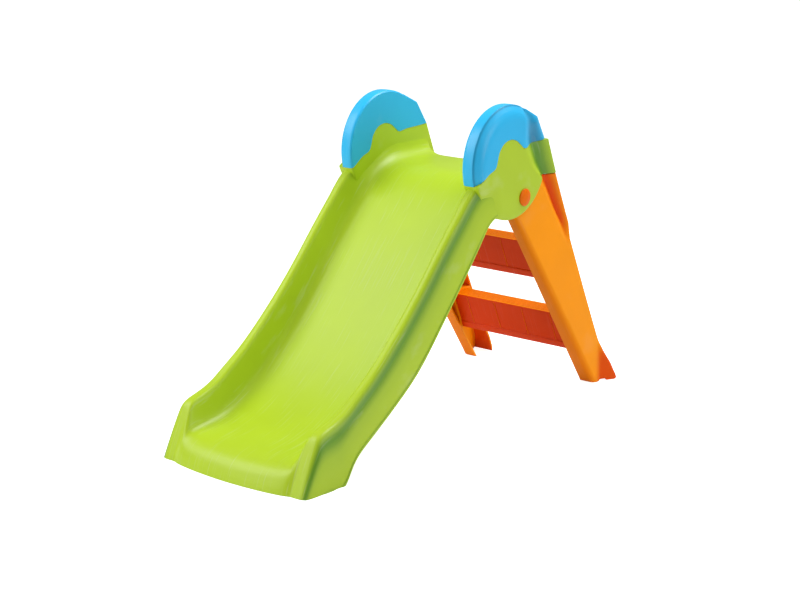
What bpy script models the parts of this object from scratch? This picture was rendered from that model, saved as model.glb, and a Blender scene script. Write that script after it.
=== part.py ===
"""Folding toddler slide: a moulded chute with two round ears, and a two-step ladder that folds under it.

Metres, +Z up. +X is across the slide, -Y is the foot of the chute and +Y the ladder.
The origin is on the ground, under the middle of the slide.
"""
from math import acos, asin, atan2, cos, degrees, pi, radians, sin

import bmesh
import bpy
from mathutils import Matrix, Vector

# Driving dimensions.
WALL = 0.0040                # thickness of the chute's moulded wall
GAP = 0.0003                 # clearance between pieces that touch
CREASE = radians(32)         # edges sharper than this stay sharp in the shading

# The ears: a disc in side view, with a thinner fin behind it.
EAR_Y, EAR_Z, EAR_R = 0.162, 0.641, 0.139
EAR_IN, EAR_OUT = 0.1740, 0.2205       # faces of the ear, measured across the slide
EAR_WALL = 0.0035
FIN_OUT = 0.2040                       # outer face of the fin
FIN_BOTTOM = 0.5880
MOUTH_FRONT, MOUTH_BOTTOM = 0.118, 0.450         # the ear is open below, behind this place
HOLLOW_HIGH_ENDS = (-19.2, 199.2)                # degrees round the ear, just below the platform
PLATFORM_Z = 0.600
PLATFORM_REAR = 0.330

# The pivot of the ladder.
PIVOT_Y, PIVOT_Z = 0.212, 0.550
PIN_R = 0.0097
PIN_HEAD_R = 0.0215
PIN_HEAD_H = 0.0065
PIN_RIM_H = 0.0015           # the head's straight rim, below its dome
BARB_R, BARB_TIP_R = 0.0118, 0.0085
BARB_RIM_H, BARB_H = 0.0015, 0.0060

# The grip covers sit in a rebate of the ears.
REBATE = 0.0028
GRIP_PROUD = 0.0010

# The ladder.
STILE_TOP_IN, STILE_TOP_OUT = 0.1790, 0.2060
STILE_FOOT_IN, STILE_FOOT_OUT = 0.1750, 0.2130
STILE_DRAFT_Z = 0.480        # above this height the stile's sides are upright
STILE_WEB = 0.0050
HEAD_R = 0.0380              # rounded top of the stile, about the pivot
STEP_WALL = 0.0040
STEP_SOCKET = 0.0120         # how far a step's end goes into a stile
STEP_DEPTH = 0.0720
STEP_RISER = Vector((0.0440, -0.0970))           # the front flange, from the tread down
STEP_REAR_LIP = Vector((0.0090, -0.0240))
STEP_RIDGES = (0.014, 0.029, 0.044, 0.059)       # raised bars along the tread
STEPS = {"upper_step": Vector((0.347, 0.400)), "lower_step": Vector((0.444, 0.197))}

GREEN = (0.42, 0.62, 0.045, 1.0)
BLUE = (0.045, 0.48, 0.86, 1.0)
ORANGE = (0.90, 0.28, 0.01, 1.0)

# Stations along the chute, from the foot to the rear of the platform, in side view (y, z):
# the floor, the top of the rail, the bottom edge of the skirt, and how far out the skirt is.
STATIONS = [
    ((-0.6205, -0.006), (-0.595, -0.006), (-0.567, -0.006), 0.2295),
    ((-0.612, 0.018), (-0.584, 0.022), (-0.559, -0.006), 0.2295),
    ((-0.601, 0.040), (-0.566, 0.062), (-0.548, -0.006), 0.2295),
    ((-0.585, 0.055), (-0.545, 0.103), (-0.534, -0.006), 0.2295),
    ((-0.560, 0.061), (-0.531, 0.124), (-0.520, -0.006), 0.2295),
    ((-0.525, 0.065), (-0.508, 0.134), (-0.500, -0.006), 0.2295),
    ((-0.478, 0.071), (-0.476, 0.143), (-0.464, -0.006), 0.2290),
    ((-0.425, 0.084), (-0.438, 0.158), (-0.427, 0.050), 0.2280),
    ((-0.362, 0.114), (-0.398, 0.184), (-0.370, 0.087), 0.2265),
    ((-0.288, 0.165), (-0.336, 0.226), (-0.280, 0.142), 0.2240),
    ((-0.205, 0.240), (-0.255, 0.297), (-0.190, 0.205), 0.2210),
    ((-0.122, 0.330), (-0.171, 0.379), (-0.096, 0.305), 0.2190),
    ((-0.040, 0.424), (-0.089, 0.471), (-0.019, 0.391), 0.2182),
    ((0.030, 0.500), (-0.020, 0.543), (0.042, 0.463), 0.2185),
    ((0.078, 0.549), (0.028, 0.592), (0.080, 0.508), 0.2192),
    ((0.120, 0.583), (0.090, 0.612), (0.125, 0.522), 0.2197),
    ((0.170, 0.600), (0.160, 0.648), (0.170, 0.525), 0.2197),
    ((0.250, 0.600), (0.250, 0.650), (0.250, 0.540), 0.2197),
    ((PLATFORM_REAR, 0.600), (PLATFORM_REAR, 0.650), (PLATFORM_REAR, 0.550), 0.2197),
]
# The section from the middle to the rail: distance across, and height as a share of the rail's height.
RAIL_IN = 0.1850
INNER_ROWS = [(0.0, 0.0), (0.060, 0.0), (0.110, 0.0), (0.138, 0.0), (0.153, 0.03), (0.164, 0.11),
              (0.1705, 0.24), (0.1780, 0.60), (0.1825, 0.86), (0.1850, 0.955), (0.1895, 1.0)]
SEAT_ROWS = [(0.0, 0.0), (0.060, 0.0), (0.100, 0.0), (0.130, 0.0), (0.146, 0.06), (0.159, 0.20),
             (0.1675, 0.38), (0.1725, 0.60), (0.1745, 0.86), (0.1765, 0.955), (0.1815, 1.0)]
SEAT_BLEND = (0.020, 0.160)  # along the chute, its section turns into the seat's, with a wider fillet
# From the rail to the skirt's bottom: share of the way out to the skirt, and of the way down it.
OUTER_ROWS = [(0.36, -0.008), (0.60, 0.0), (0.71, 0.045), (0.74, 0.115), (0.76, 0.140),
              (0.86, 0.180), (0.91, 0.40), (0.96, 0.70), (1.0, 0.945)]
LIP = 0.0025                 # the rim along the skirt's bottom stands out this far
LIP_END, LIP_FADE = 0.070, 0.060             # it fades out before the ears
FOOT_BOW = 0.020             # the foot's front edge is bowed forward by this much in the middle
FOOT_STATIONS = 4            # the bow fades out over these stations
RIB_PLACES = (-0.452, -0.325, -0.195, -0.065, 0.070)
RIB_THICK, RIB_DEPTH, RIB_INSET, RIB_HALF = 0.0030, 0.0190, 0.0035, 0.1800
PLATFORM_LIP = 0.0260

# The wavy lower edge of a grip cover, in side view.
GRIP_EDGE = [(0.000, 0.583), (0.026, 0.594), (0.050, 0.606), (0.078, 0.625), (0.106, 0.635),
             (0.115, 0.652), (0.122, 0.673), (0.140, 0.690), (0.165, 0.697), (0.190, 0.692),
             (0.211, 0.679), (0.231, 0.670), (0.258, 0.674), (0.300, 0.676), (0.360, 0.680)]
FIN_LINE = [(0.277, 0.735), (0.320, 0.680), (0.360, FIN_BOTTOM)]

# The stile in side view: the foot of its front edge, and its rear edge from top to bottom.
STILE_FRONT_FOOT = (0.547, 0.0)
STILE_SHOULDER_Z = 0.5875
STILE_REAR = [(0.358, STILE_SHOULDER_Z), (0.419, 0.451), (0.426, 0.408), (0.492, 0.261),
              (0.530, 0.178), (0.566, 0.105), (0.600, 0.0)]
STILE_WALL = 0.0060
HAND_RECESS = 0.0130         # depth of the hollow beside the stile's rear edge
CHANNEL_LOW, CHANNEL_HIGH = 0.020, 0.405     # the channel's ends
TOE_REAR = 0.6185
TOE_OUT = 0.2380


def clear_scene():
    for obj in list(bpy.data.objects):
        bpy.data.objects.remove(obj, do_unlink=True)


def new_collection(name):
    collection = bpy.data.collections.new(name)
    bpy.context.scene.collection.children.link(collection)
    return collection


def plastic(name, color, roughness):
    material = bpy.data.materials.new(name)
    material.use_nodes = True
    shader = material.node_tree.nodes["Principled BSDF"]
    shader.inputs["Base Color"].default_value = color
    shader.inputs["Roughness"].default_value = roughness
    shader.inputs["Metallic"].default_value = 0.0
    return material


def add_mesh_object(name, bm, collection):
    mesh = bpy.data.meshes.new(name)
    bm.to_mesh(mesh)
    bm.free()
    obj = bpy.data.objects.new(name, mesh)
    collection.objects.link(obj)
    return obj


def as_guide(obj):
    obj.hide_render = True
    obj.display_type = "WIRE"
    return obj


def boolean(obj, tool, operation):
    modifier = obj.modifiers.new(operation.lower() + "_" + tool.name, "BOOLEAN")
    modifier.object = tool
    modifier.operation = operation
    modifier.solver = "EXACT"


def smooth_path(points, steps):
    """A Catmull-Rom curve through the points."""
    path = []
    count = len(points)
    for i in range(count - 1):
        before = Vector(points[max(i - 1, 0)])
        start = Vector(points[i])
        end = Vector(points[i + 1])
        after = Vector(points[min(i + 2, count - 1)])
        for step in range(steps):
            t = step / steps
            path.append(0.5 * (2 * start + (end - before) * t
                               + (2 * before - 5 * start + 4 * end - after) * t * t
                               + (3 * start - before - 3 * end + after) * t ** 3))
    path.append(Vector(points[-1]))
    return path


def arc(center, radius, start, end, steps):
    """Points on an arc in side view; the angles are in degrees from +Y towards +Z."""
    points = []
    for i in range(steps + 1):
        angle = radians(start + (end - start) * i / steps)
        points.append((center[0] + radius * cos(angle), center[1] + radius * sin(angle)))
    return points


def side_prism(name, outline, x_low, x_high, collection, bevel=0.0):
    """A flat outline in side view (y, z), extruded across the slide from x_low to x_high."""
    curve = bpy.data.curves.new(name, "CURVE")
    curve.dimensions = "2D"
    curve.fill_mode = "BOTH"
    curve.extrude = (x_high - x_low) / 2
    spline = curve.splines.new("POLY")
    spline.points.add(len(outline) - 1)
    for point, (y, z) in zip(spline.points, outline):
        point.co = (y, z, 0.0, 1.0)
    spline.use_cyclic_u = True
    guide = bpy.data.objects.new(name + "_outline", curve)
    collection.objects.link(guide)
    guide.matrix_world = Matrix(((0, 0, 1, (x_low + x_high) / 2), (1, 0, 0, 0), (0, 1, 0, 0), (0, 0, 0, 1)))
    bpy.context.view_layer.update()
    evaluated = guide.evaluated_get(bpy.context.evaluated_depsgraph_get())
    mesh = bpy.data.meshes.new_from_object(evaluated)
    mesh.transform(guide.matrix_world)
    bpy.data.objects.remove(guide, do_unlink=True)
    bm = bmesh.new()
    bm.from_mesh(mesh)
    bpy.data.meshes.remove(mesh)
    bmesh.ops.remove_doubles(bm, verts=bm.verts, dist=0.00005)
    bmesh.ops.dissolve_limit(bm, angle_limit=radians(0.5), verts=bm.verts, edges=bm.edges)
    bmesh.ops.recalc_face_normals(bm, faces=bm.faces)
    obj = add_mesh_object(name, bm, collection)
    if bevel:
        modifier = obj.modifiers.new("rounded_edges", "BEVEL")
        modifier.width = bevel
        modifier.segments = 2
        modifier.limit_method = "ANGLE"
        modifier.angle_limit = radians(50)
    return obj


def cylinder_x(name, radius, x_low, x_high, collection, segments=32):
    """A cylinder on the ladder's pivot, along X."""
    bm = bmesh.new()
    place = Matrix.Translation(((x_low + x_high) / 2, PIVOT_Y, PIVOT_Z)) @ Matrix.Rotation(pi / 2, 4, "Y")
    bmesh.ops.create_cone(bm, cap_ends=True, segments=segments, radius1=radius, radius2=radius,
                          depth=x_high - x_low, matrix=place)
    return add_mesh_object(name, bm, collection)


def block(name, low, high, collection):
    bm = bmesh.new()
    center = (Vector(low) + Vector(high)) / 2
    size = Vector(high) - Vector(low)
    bmesh.ops.create_cube(bm, size=1.0, matrix=Matrix.Translation(center) @ Matrix.Diagonal((*size, 1.0)))
    return add_mesh_object(name, bm, collection)


def mirrored_copy(obj, name, collection):
    """The same piece on the other side of the slide."""
    copy = obj.copy()
    copy.data = obj.data.copy()
    copy.name = name
    copy.data.name = name
    copy.data.transform(Matrix.Diagonal((-1.0, 1.0, 1.0, 1.0)))
    copy.data.flip_normals()
    collection.objects.link(copy)
    return copy


def settle(obj):
    """Make the modifiers' result the object's own mesh."""
    bpy.context.view_layer.update()
    evaluated = obj.evaluated_get(bpy.context.evaluated_depsgraph_get())
    mesh = bpy.data.meshes.new_from_object(evaluated)
    obj.modifiers.clear()
    obj.data = mesh
    return obj


def shade_round(obj):
    """Smooth shading that keeps the creases."""
    obj.data.shade_smooth()
    obj.data.set_sharp_from_angle(angle=CREASE)


def disc_and_fin(inset):
    """The ear's outline in side view: the disc's round front, then the fin's straight rear."""
    radius = EAR_R - inset
    fin = [(y - inset, z - inset * 0.4) for y, z in FIN_LINE]
    fin[-1] = (FIN_LINE[-1][0] - inset, FIN_BOTTOM)
    start = degrees(atan2(fin[0][1] - EAR_Z, fin[0][0] - EAR_Y)) + 2.0
    rise = FIN_BOTTOM - EAR_Z
    end = 360.0 + degrees(asin(rise / radius))
    return arc((EAR_Y, EAR_Z), radius, start, end, 40) + fin[::-1]


def grip_zone(drop):
    """The side-view region that a grip cover takes, with its lower edge moved down by drop."""
    edge = [(y, z - drop) for y, z in smooth_path(GRIP_EDGE, 2)]
    return edge + [(0.360, 0.820), (0.000, 0.820)]


def chute_sheet(collection):
    """Half of the chute's outer surface, from the middle to the skirt's bottom edge."""
    stations = []
    for floor, rail, skirt, out in STATIONS:
        stations.append((*floor, *rail, *skirt, out))
    steps = 2
    rows = []
    for index, values in enumerate(smooth_path(stations, steps)):
        floor = Vector(values[0:2])
        rail = Vector(values[2:4])
        skirt = Vector(values[4:6])
        out = values[6]
        bow = FOOT_BOW * max(0.0, 1.0 - index / (FOOT_STATIONS * steps)) ** 0.5
        low, high = SEAT_BLEND
        seat = min(1.0, max(0.0, (floor.x - low) / (high - low)))
        row = []
        for chute_point, seat_point in zip(INNER_ROWS, SEAT_ROWS):
            across, share = Vector(chute_point).lerp(Vector(seat_point), seat)
            side = floor.lerp(rail, share)
            y = side.x + bow * (1.0 - share) * (across / RAIL_IN) ** 2
            row.append((across, y, side.y))
        for outwards, down in OUTER_ROWS:
            side = rail.lerp(skirt, down)
            row.append((RAIL_IN + (out - RAIL_IN) * outwards, side.x, side.y))
        lip = LIP * min(1.0, max(0.0, (LIP_END - skirt.x) / LIP_FADE))
        for down in (0.960, 1.0):
            side = rail.lerp(skirt, down)
            row.append((out + lip, side.x, side.y))
        rows.append(row)
    bm = bmesh.new()
    grid = [[bm.verts.new(point) for point in row] for row in rows]
    for lower, upper in zip(grid, grid[1:]):
        for i in range(len(lower) - 1):
            bm.faces.new((lower[i], lower[i + 1], upper[i + 1], upper[i]))
    return add_mesh_object("slide_bed", bm, collection)


def ear_solid(cutters):
    """One ear before it is hollowed: full size below the grip cover, stepped in under it."""
    body = side_prism("ear_body", disc_and_fin(0.0), EAR_IN, EAR_OUT, cutters, bevel=0.003)
    zone = side_prism("ear_rebate", grip_zone(GAP), EAR_IN - 0.02, EAR_OUT + 0.02, cutters)
    core = side_prism("ear_core", disc_and_fin(REBATE), EAR_IN + REBATE, EAR_OUT - REBATE, cutters)
    recess = side_prism("ear_recess", recess_outline(0.0), FIN_OUT, EAR_OUT + 0.02, cutters)
    core_recess = side_prism("core_recess", recess_outline(REBATE), FIN_OUT - REBATE, EAR_OUT + 0.02, cutters)
    boolean(body, zone, "DIFFERENCE")
    boolean(body, recess, "DIFFERENCE")
    settle(body)
    boolean(core, core_recess, "DIFFERENCE")
    settle(core)
    boolean(body, core, "UNION")
    settle(body)
    for tool in (zone, core, recess, core_recess):
        bpy.data.objects.remove(tool, do_unlink=True)
    return as_guide(body)


def recess_outline(inset):
    """The region behind the disc, where only the thin fin is left."""
    radius = EAR_R - inset
    return arc((EAR_Y, EAR_Z), radius, -60, 70, 26) + [(0.30, 0.82), (0.42, 0.82), (0.42, 0.50)]


def ear_hollow(cutters):
    """The space inside an ear: wide below the platform for the ladder's head, narrower above."""
    inner = EAR_R - EAR_WALL
    mouth_top = FIN_BOTTOM - GAP
    start = 180.0 + degrees(asin((EAR_Z - PLATFORM_Z) / inner))
    end = 180.0 + degrees(acos((EAR_Y - MOUTH_FRONT) / inner))
    half_low = (inner ** 2 - (EAR_Z - mouth_top) ** 2) ** 0.5
    half_high = (inner ** 2 - (EAR_Z - PLATFORM_Z) ** 2) ** 0.5
    low = arc((EAR_Y, EAR_Z), inner, start, end, 10)
    low += [(MOUTH_FRONT, MOUTH_BOTTOM), (0.420, MOUTH_BOTTOM), (0.420, mouth_top),
            (EAR_Y + half_low, mouth_top), (EAR_Y + half_high, PLATFORM_Z)]
    hollow = side_prism("ear_hollow", low, EAR_IN + EAR_WALL, EAR_OUT - EAR_WALL, cutters)
    high = arc((EAR_Y, EAR_Z), inner - REBATE, *HOLLOW_HIGH_ENDS, 30)
    narrow = side_prism("hollow_high", high, EAR_IN + REBATE + EAR_WALL, EAR_OUT - REBATE - EAR_WALL, cutters)
    boolean(hollow, narrow, "UNION")
    settle(hollow)
    bpy.data.objects.remove(narrow, do_unlink=True)
    return as_guide(hollow)


def floor_height(y):
    """Height of the chute's floor at a place along it."""
    path = smooth_path([station[0] for station in STATIONS], 2)
    for lower, upper in zip(path, path[1:]):
        if lower.x <= y <= upper.x:
            return lower.lerp(upper, (y - lower.x) / (upper.x - lower.x)).y
    return path[-1].y


def chute_ribs(cutters):
    """Stiffening ribs under the chute and the lip along the platform's rear edge."""
    ribs = []
    for number, y in enumerate(RIB_PLACES):
        top = floor_height(y) - RIB_INSET
        rib = block("rib_%d" % number, (-RIB_HALF, y - RIB_THICK / 2, top - RIB_DEPTH),
                    (RIB_HALF, y + RIB_THICK / 2, top), cutters)
        ribs.append(as_guide(rib))
    half = EAR_IN + 0.0015
    lip = block("platform_lip", (-half, PLATFORM_REAR - WALL, PLATFORM_Z - PLATFORM_LIP),
                (half, PLATFORM_REAR, PLATFORM_Z - 0.0015), cutters)
    ribs.append(as_guide(lip))
    return ribs


def slide_bed(parts, cutters, material):
    bed = chute_sheet(parts)
    mirror = bed.modifiers.new("other_half", "MIRROR")
    mirror.merge_threshold = 0.0001
    wall = bed.modifiers.new("wall", "SOLIDIFY")
    wall.thickness = WALL
    wall.offset = -1.0
    right = ear_solid(cutters)
    right.name = "ear_right"
    left = mirrored_copy(right, "ear_left", cutters)
    for tool in [right, left] + chute_ribs(cutters):
        boolean(bed, tool, "UNION")
    hollow_right = ear_hollow(cutters)
    hollow_left = mirrored_copy(hollow_right, "ear_hollow_left", cutters)
    fin_right = as_guide(side_prism("fin_side_right", recess_outline(0.0), FIN_OUT + 0.00005, 0.26, cutters))
    fin_left = mirrored_copy(fin_right, "fin_side_left", cutters)
    bore = as_guide(cylinder_x("pivot_bore", PIN_R + 2 * GAP, -0.26, 0.26, cutters))
    ground = as_guide(block("ground", (-0.5, -1.0, -0.1), (0.5, 1.0, 0.0), cutters))
    for tool in (hollow_right, hollow_left, fin_right, fin_left, bore, ground):
        boolean(bed, tool, "DIFFERENCE")
    settle(bed)
    shade_round(bed)
    bed.data.materials.append(material)
    return bed


def grip_cover(name, parts, cutters, material):
    """The cap over an ear's top: a shell with the ear's outline, open along its wavy lower edge."""
    cover = side_prism(name, disc_and_fin(-GRIP_PROUD), EAR_IN - GRIP_PROUD, EAR_OUT + GRIP_PROUD, parts,
                       bevel=0.003)
    slack = REBATE - GAP
    core = side_prism("grip_core", disc_and_fin(slack), EAR_IN + slack, EAR_OUT - slack, cutters)
    fin_side = side_prism("grip_fin_side", recess_outline(-GRIP_PROUD), FIN_OUT + GRIP_PROUD, 0.26, cutters)
    core_side = side_prism("core_fin_side", recess_outline(slack), FIN_OUT - slack, 0.26, cutters)
    zone = side_prism("grip_zone", grip_zone(0.0), EAR_IN - 0.02, EAR_OUT + 0.02, cutters)
    boolean(cover, fin_side, "DIFFERENCE")
    boolean(cover, zone, "INTERSECT")
    boolean(core, core_side, "DIFFERENCE")
    settle(core)
    boolean(cover, core, "DIFFERENCE")
    settle(cover)
    for tool in (core, fin_side, core_side, zone):
        bpy.data.objects.remove(tool, do_unlink=True)
    shade_round(cover)
    cover.data.materials.append(material)
    return cover


def pivot_pin(name, parts, material):
    """A turned snap pin: domed head outside the ear, shank through ear and stile, barbed inner end."""
    under_head = EAR_OUT + GAP
    barb = EAR_IN - GAP
    profile = [(0.0, under_head + PIN_HEAD_H)]
    for step in range(1, 7):
        angle = radians(90 - 15 * step)
        dome = (PIN_HEAD_H - PIN_RIM_H) * sin(angle)
        profile.append((PIN_HEAD_R * cos(angle), under_head + PIN_RIM_H + dome))
    profile += [(PIN_HEAD_R, under_head), (PIN_R, under_head), (PIN_R, barb), (BARB_R, barb),
                (BARB_R, barb - BARB_RIM_H), (BARB_TIP_R, barb - BARB_H), (0.0, barb - BARB_H)]
    bm = bmesh.new()
    verts = [bm.verts.new((radius, 0.0, height)) for radius, height in profile]
    for start, end in zip(verts, verts[1:]):
        bm.edges.new((start, end))
    pin = add_mesh_object(name, bm, parts)
    screw = pin.modifiers.new("turned", "SCREW")
    screw.axis = "Z"
    screw.steps = screw.render_steps = 32
    screw.use_merge_vertices = True
    screw.merge_threshold = 0.0001
    pin.matrix_world = Matrix.Translation((0.0, PIVOT_Y, PIVOT_Z)) @ Matrix.Rotation(pi / 2, 4, "Y")
    pin.data.materials.append(material)
    return pin


def stile_faces(z):
    """Inner and outer face of a stile at a height: it widens towards the ground."""
    share = max(0.0, 1.0 - z / STILE_DRAFT_Z)
    inner = STILE_TOP_IN + (STILE_FOOT_IN - STILE_TOP_IN) * share
    outer = STILE_TOP_OUT + (STILE_FOOT_OUT - STILE_TOP_OUT) * share
    return inner, outer


def drafted_prism(name, outline, in_offset, out_offset, collection):
    """A side-view outline whose two faces follow the stile's, moved across by the two offsets."""
    obj = side_prism(name, outline, 0.10, 0.30, collection)
    bm = bmesh.new()
    bm.from_mesh(obj.data)
    bmesh.ops.bisect_plane(bm, geom=bm.verts[:] + bm.edges[:] + bm.faces[:], dist=0.00001,
                           plane_co=(0.0, 0.0, STILE_DRAFT_Z), plane_no=(0.0, 0.0, 1.0))
    for vert in bm.verts:
        inner, outer = stile_faces(vert.co.z)
        vert.co.x = inner + in_offset if vert.co.x < 0.20 else outer + out_offset
    bm.to_mesh(obj.data)
    bm.free()
    return obj


def front_edge():
    """The point where the stile's straight front edge meets its round head, as an angle."""
    to_pivot = Vector((PIVOT_Y, PIVOT_Z)) - Vector(STILE_FRONT_FOOT)
    return 90.0 + degrees(atan2(to_pivot.y, to_pivot.x) + asin(HEAD_R / to_pivot.length))


def stile_outline():
    shoulder = degrees(asin((STILE_SHOULDER_Z - PIVOT_Z) / HEAD_R))
    head = arc((PIVOT_Y, PIVOT_Z), HEAD_R, front_edge(), shoulder, 14)
    return [STILE_FRONT_FOOT] + head + STILE_REAR


def edge_at(line, z):
    """Where an edge of the stile, given as points from top to bottom, is at a height."""
    for upper, lower in zip(line, line[1:]):
        if lower[1] <= z <= upper[1]:
            return upper[0] + (lower[0] - upper[0]) * (upper[1] - z) / (upper[1] - lower[1])
    return line[-1][0]


def channel_outline(low, high):
    """The channel inside the stile: its outline moved in by the wall, between two heights."""
    head = arc((PIVOT_Y, PIVOT_Z), HEAD_R, front_edge(), 180, 1)[0]
    front = [head, STILE_FRONT_FOOT]
    rear_heights = [high] + [z for _, z in STILE_REAR if low < z < high] + [low]
    rear = [(edge_at(STILE_REAR, z) - STILE_WALL, z) for z in rear_heights]
    return [(edge_at(front, low) + STILE_WALL, low), (edge_at(front, high) + STILE_WALL, high)] + rear


def grown(outline, amount):
    """An outline moved outwards all round by an amount, with mitred corners."""
    points = [Vector(point) for point in outline]
    area = sum(a.cross(b) for a, b in zip(points, points[1:] + points[:1]))
    side = amount if area > 0 else -amount
    result = []
    for before, point, after in zip(points[-1:] + points[:-1], points, points[1:] + points[:1]):
        first = (point - before).normalized()
        second = (after - point).normalized()
        normal_a = Vector((first.y, -first.x))
        normal_b = Vector((second.y, -second.x))
        miter = normal_a + normal_b
        result.append(point + miter * (side * 2.0 / miter.length_squared))
    return result


def step_profile(corner):
    """A step's section from the side: tread with ridges, leaning front flange with a lip, rear lip."""
    down = STEP_RISER
    forward = Vector((down.y, -down.x)).normalized()
    lip = forward * 0.0020
    points = [down, down + lip, down * 0.82 + lip, down * 0.80, Vector((0.0, 0.0))]
    for y in STEP_RIDGES:
        points += [Vector((y - 0.0025, 0.0)), Vector((y - 0.0015, 0.0012)),
                   Vector((y + 0.0015, 0.0012)), Vector((y + 0.0025, 0.0))]
    rear = Vector((STEP_DEPTH, 0.0))
    back = Vector((-STEP_WALL, 0.0))
    points += [rear, rear + STEP_REAR_LIP, rear + STEP_REAR_LIP + back,
               rear + back * 0.75 - Vector((0.0, STEP_WALL)),
               Vector((STEP_WALL * 1.6, -STEP_WALL)), down - forward * STEP_WALL]
    return [corner + point for point in points]


def socket_outline(corner):
    """The block inside a stile that a step's end sits in."""
    points = [(-0.009, 0.007), (STEP_DEPTH + 0.0015, 0.007), (STEP_DEPTH + 0.012, -0.030),
              (0.062, -0.103), (0.036, -0.103)]
    return [corner + Vector(point) for point in points]


def stile(name, parts, cutters, material):
    """A side frame of the ladder: a channel open inwards, with sockets for the steps and a flared foot."""
    frame = drafted_prism(name, stile_outline(), 0.0, 0.0, parts)
    channel = drafted_prism("channel", channel_outline(CHANNEL_LOW, CHANNEL_HIGH), -0.02, -STILE_WEB, cutters)
    boolean(frame, channel, "DIFFERENCE")
    settle(frame)
    tools = [channel]
    for corner in STEPS.values():
        socket = drafted_prism("socket", socket_outline(corner), 0.0008, -0.0015, cutters)
        boolean(frame, socket, "UNION")
        settle(frame)
        reach = stile_faces(corner.y)[0] + STEP_SOCKET
        slot = side_prism("slot", grown(step_profile(corner), GAP), 0.15, reach, cutters)
        boolean(frame, slot, "DIFFERENCE")
        settle(frame)
        tools += [socket, slot]
    toe = flared_toe(cutters)
    boolean(frame, toe, "UNION")
    settle(frame)
    arch = side_prism("arch", [(0.560, -0.01), (0.566, 0.010), (0.582, 0.010), (0.588, -0.01)], 0.15, 0.26, cutters)
    hand_recess = [(0.306, 0.600), (0.352, 0.600), (0.413, 0.451), (0.420, 0.415), (0.396, 0.435),
                   (0.350, 0.500), (0.315, 0.560)]
    recess = side_prism("hand_recess", hand_recess, STILE_TOP_OUT - HAND_RECESS, 0.26, cutters)
    bore = cylinder_x("stile_bore", PIN_R + 2 * GAP, 0.15, 0.26, cutters)
    for tool in (arch, recess, bore):
        boolean(frame, tool, "DIFFERENCE")
        settle(frame)
    for tool in tools + [toe, arch, recess, bore]:
        bpy.data.objects.remove(tool, do_unlink=True)
    shade_round(frame)
    frame.data.materials.append(material)
    return frame


def flared_toe(cutters):
    """The rear toe of a stile's foot, which spreads outwards and back to the ground."""
    toe = block("toe", (STILE_FOOT_IN + WALL, 0.560, 0.0), (0.211, 0.570, 0.085), cutters)
    for vert in toe.data.vertices:
        if vert.co.z < 0.04:
            vert.co.y = TOE_REAR if vert.co.y > 0.565 else 0.572
            vert.co.x = TOE_OUT if vert.co.x > 0.20 else vert.co.x
    return toe


def step(name, corner, parts, material):
    reach = stile_faces(corner.y)[0] + STEP_SOCKET - GAP
    tread = side_prism(name, step_profile(corner), -reach, reach, parts)
    tread.data.materials.append(material)
    return tread


def hang_on(obj, pivot):
    """Parent a ladder piece to the pivot, with its own origin on the pivot's axis."""
    obj.data.transform(Matrix.Translation(-pivot.location))
    obj.parent = pivot


def main():
    clear_scene()
    parts = new_collection("toddler_slide")
    cutters = new_collection("cutters")
    slide_bed(parts, cutters, plastic("green_plastic", GREEN, 0.35))
    right_grip = grip_cover("grip_right", parts, cutters, plastic("blue_right", BLUE, 0.35))
    left_grip = mirrored_copy(right_grip, "grip_left", parts)
    left_grip.data.materials[0] = plastic("blue_left", BLUE, 0.35)
    right_pin = pivot_pin("pivot_pin_right", parts, plastic("orange_pin_right", ORANGE, 0.35))
    left_pin = pivot_pin("pivot_pin_left", parts, plastic("orange_pin_left", ORANGE, 0.35))
    left_pin.matrix_world = Matrix.Translation(right_pin.location) @ Matrix.Rotation(-pi / 2, 4, "Y")

    pivot = bpy.data.objects.new("ladder_pivot", None)
    pivot.location = (0.0, PIVOT_Y, PIVOT_Z)
    parts.objects.link(pivot)
    right_stile = stile("stile_right", parts, cutters, plastic("orange_stile_right", ORANGE, 0.35))
    left_stile = mirrored_copy(right_stile, "stile_left", parts)
    left_stile.data.materials[0] = plastic("orange_stile_left", ORANGE, 0.35)
    ladder = [right_stile, left_stile]
    for name, corner in STEPS.items():
        ladder.append(step(name, corner, parts, plastic("orange_" + name, ORANGE, 0.40)))
    for piece in ladder:
        hang_on(piece, pivot)


main()
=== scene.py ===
"""The looks of the folding toddler slide: moulded chute with ears, grip covers, pins and a folding ladder.

Metres, in the frame's own axes: +X across the slide, -Y the foot of the chute, +Z up.
"""
from math import acos, asin, atan2, cos, degrees, pi, radians, sin

import bpy
from mathutils import Matrix, Vector


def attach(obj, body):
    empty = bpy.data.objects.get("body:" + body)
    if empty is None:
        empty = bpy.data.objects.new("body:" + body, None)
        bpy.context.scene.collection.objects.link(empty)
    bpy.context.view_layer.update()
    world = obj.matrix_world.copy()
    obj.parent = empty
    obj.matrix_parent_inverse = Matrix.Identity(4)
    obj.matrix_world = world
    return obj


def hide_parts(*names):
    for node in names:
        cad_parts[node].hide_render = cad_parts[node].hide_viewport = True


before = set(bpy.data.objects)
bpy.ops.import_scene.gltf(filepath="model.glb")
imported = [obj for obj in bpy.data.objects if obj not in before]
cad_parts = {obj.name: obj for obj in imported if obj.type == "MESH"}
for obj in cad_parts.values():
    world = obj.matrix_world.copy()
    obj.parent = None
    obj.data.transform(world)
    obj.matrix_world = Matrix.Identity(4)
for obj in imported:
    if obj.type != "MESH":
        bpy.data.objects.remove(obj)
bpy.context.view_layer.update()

# The slide's driving dimensions, as the frame has them.
WALL = 0.0040                # of the chute
EAR_WALL, STILE_WALL = 0.0035, 0.0048
GAP = 0.0003                 # clearance between pieces that touch
SEAM_GAP = 0.0006            # between a grip cover's wavy edge and the ear
EAR_Y, EAR_Z, EAR_R = 0.162, 0.641, 0.139
EAR_IN, EAR_OUT = 0.1740, 0.2205
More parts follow.
